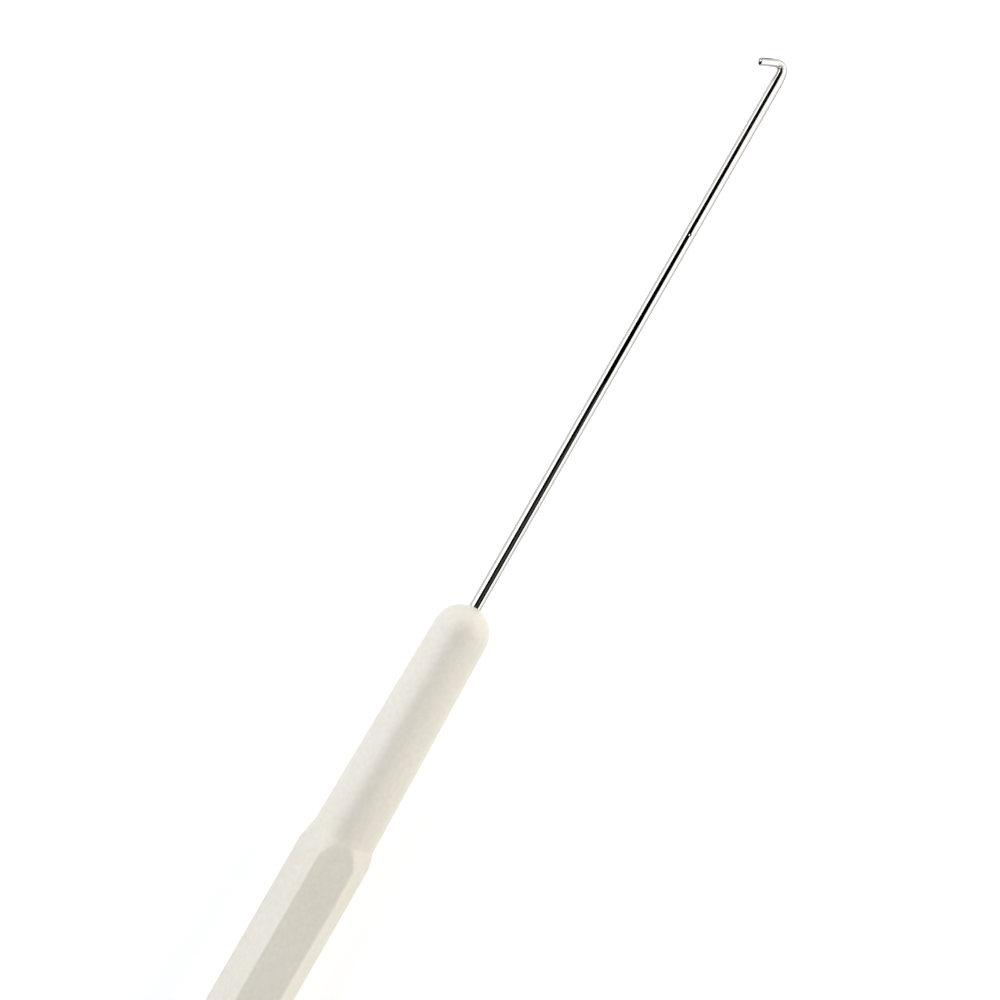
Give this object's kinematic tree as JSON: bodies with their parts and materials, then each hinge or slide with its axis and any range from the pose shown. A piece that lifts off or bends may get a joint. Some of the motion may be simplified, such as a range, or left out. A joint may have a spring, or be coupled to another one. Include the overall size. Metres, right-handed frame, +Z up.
{
  "type": "wire hook tool",
  "caption": "Slim steel wire with its end bent back into a short open hook, moulded into a plastic handle with a hexagonal grip, for catching and pulling yarn or loops.",
  "frame": {"origin": "bottom centre of the whole tool's box, with the tool lying on one flat of its grip", "axes": "+X along the tool towards the hook, +Y the way the hook's point leans out from the wire, +Z up"},
  "size_m": [0.172, 0.0092, 0.0081],
  "materials": {
    "ivory_plastic": "satin, slightly translucent moulded plastic",
    "bright_steel": "polished bright wire"
  },
  "bodies": {
    "root": {"handle": "ivory_plastic", "wire_shank": "bright_steel", "wire_hook": "bright_steel"}
  },
  "joints": []
}
